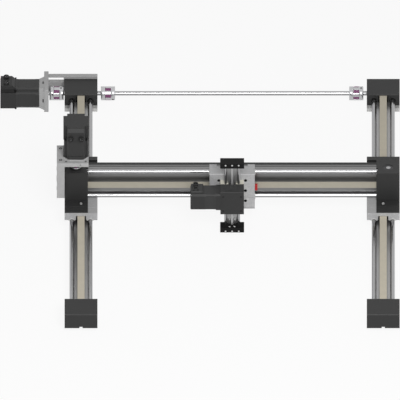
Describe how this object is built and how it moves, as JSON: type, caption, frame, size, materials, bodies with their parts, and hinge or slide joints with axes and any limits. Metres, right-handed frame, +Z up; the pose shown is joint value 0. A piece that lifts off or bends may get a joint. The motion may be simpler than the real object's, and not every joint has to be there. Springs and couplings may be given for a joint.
{
  "type": "gantry robot",
  "caption": "Three-axis belt gantry: parallel floor axes joined by a shaft, a bridge axis on their carriages and a vertical rack axis that carries a tool",
  "frame": {"origin": "centre between the two floor axes, on the plane that their end blocks stand on", "axes": "+X along the bridge away from its motor, +Y along the floor axes towards the shaft that joins them, +Z up"},
  "size_m": [0.8987, 0.9425, 0.2587],
  "materials": {
    "profile": "extruded, natural anodised",
    "light_plate": "machined, satin",
    "black_block": "black anodised, satin",
    "dark_plate": "black anodised, satin",
    "rail": "ground and polished",
    "steel": "machined",
    "fastener": "zinc plated",
    "bearing": "ground",
    "belt": "matt, ribbed inside",
    "hub": "turned, bright",
    "star": "soft, matt",
    "motor_stack": "black, laminated",
    "motor_cap": "die cast, black",
    "socket": "matt",
    "clip": "matt",
    "bearing_shell": "smooth"
  },
  "bodies": {
    "base": {"floor_axis_left_profile": "profile", "floor_axis_right_profile": "profile", "floor_rails": "rail", "floor_belts": "belt", "floor_end_block_front_left": "black_block", "floor_end_block_front_right": "black_block", "floor_end_block_rear_left": "black_block", "floor_end_block_rear_right": "black_block", "floor_ball_bearings": "bearing", "foot_clamps": "light_plate", "floor_motor_bracket": "light_plate", "floor_screws": "fastener", "floor_motor_adapter": "light_plate", "floor_motor_body": "motor_stack", "floor_motor_cap": "motor_cap", "floor_motor_connectors": "socket"},
    "sync_drive": {"drive_pulleys": "steel", "floor_coupling_hubs": "hub", "floor_coupling_stars": "star", "sync_shaft": "rail"},
    "floor_idlers": {"idler_pulleys": "steel"},
    "bridge": {"floor_carriage_left": "light_plate", "floor_carriage_right": "light_plate", "floor_slide_bearings": "bearing_shell", "floor_belt_clamps": "dark_plate", "upright_brackets": "black_block", "bridge_profile": "profile", "bridge_rails": "rail", "bridge_belt": "belt", "bridge_end_block_left": "black_block", "bridge_end_block_right": "black_block", "bridge_ball_bearings": "bearing", "bridge_motor_bracket": "light_plate", "bridge_bracket_screws": "fastener", "bridge_motor_adapter": "light_plate", "bridge_motor_body": "motor_stack", "bridge_motor_cap": "motor_cap", "bridge_motor_connectors": "socket"},
    "bridge_drive": {"bridge_drive_pulley": "steel", "bridge_coupling_hubs": "hub", "bridge_coupling_star": "star"},
    "bridge_idler": {"bridge_idler_pulley": "steel"},
    "cross_carriage": {"bridge_carriage": "light_plate", "bridge_slide_bearings": "bearing_shell", "bridge_belt_clamps": "dark_plate", "vertical_mount_plate": "light_plate", "carriage_screws": "fastener", "vertical_drive_housing": "black_block", "vertical_ball_bearings": "bearing", "vertical_slide_blocks": "light_plate", "vertical_motor_flange": "light_plate", "vertical_motor_body": "motor_stack", "vertical_motor_cap": "motor_cap", "belt_end_clip": "clip"},
    "vertical_guide": {"vertical_guide_profile": "profile", "vertical_guide_rails": "rail", "vertical_rack": "steel", "vertical_end_plates": "dark_plate", "vertical_end_plate_screws": "fastener"},
    "pinion": {"vertical_pinion": "steel"}
  },
  "joints": [
    {"name": "bridge_travel", "type": "slide", "parent": "base", "child": "bridge", "axis": [0, 1, 0], "range_m": [-0.3, 0.3]},
    {"name": "cross_travel", "type": "slide", "parent": "bridge", "child": "cross_carriage", "axis": [1, 0, 0], "range_m": [-0.25, 0.25]},
    {"name": "vertical_travel", "type": "slide", "parent": "cross_carriage", "child": "vertical_guide", "axis": [0, 0, 1], "range_m": [-0.05, 0.05]},
    {"name": "sync_turn", "type": "hinge", "parent": "base", "child": "sync_drive", "pos_m": [0, 0.428, 0.0202], "axis": [1, 0, 0], "range_deg": [-1276, 1276]},
    {"name": "floor_idler_turn", "type": "hinge", "parent": "base", "child": "floor_idlers", "pos_m": [0, -0.428, 0.0202], "axis": [1, 0, 0], "range_deg": [-1276, 1276]},
    {"name": "bridge_drive_turn", "type": "hinge", "parent": "bridge", "child": "bridge_drive", "pos_m": [-0.3515, -0.0028, 0.0825], "axis": [0, 0, 1], "range_deg": [-1064, 1064]},
    {"name": "bridge_idler_turn", "type": "hinge", "parent": "bridge", "child": "bridge_idler", "pos_m": [0.3515, -0.0028, 0.0825], "axis": [0, 0, 1], "range_deg": [-1064, 1064]},
    {"name": "pinion_turn", "type": "hinge", "parent": "cross_carriage", "child": "pinion", "pos_m": [0, -0.0875, 0.09794], "axis": [1, 0, 0], "range_deg": [-235, 235]}
  ],
  "couplings": [
    {"joint": "sync_turn", "follows": "bridge_travel", "rad_per_m": -73.92},
    {"joint": "floor_idler_turn", "follows": "bridge_travel", "rad_per_m": -73.92},
    {"joint": "bridge_drive_turn", "follows": "cross_travel", "rad_per_m": 73.92},
    {"joint": "bridge_idler_turn", "follows": "cross_travel", "rad_per_m": 73.92},
    {"joint": "pinion_turn", "follows": "vertical_travel", "rad_per_m": 80}
  ]
}
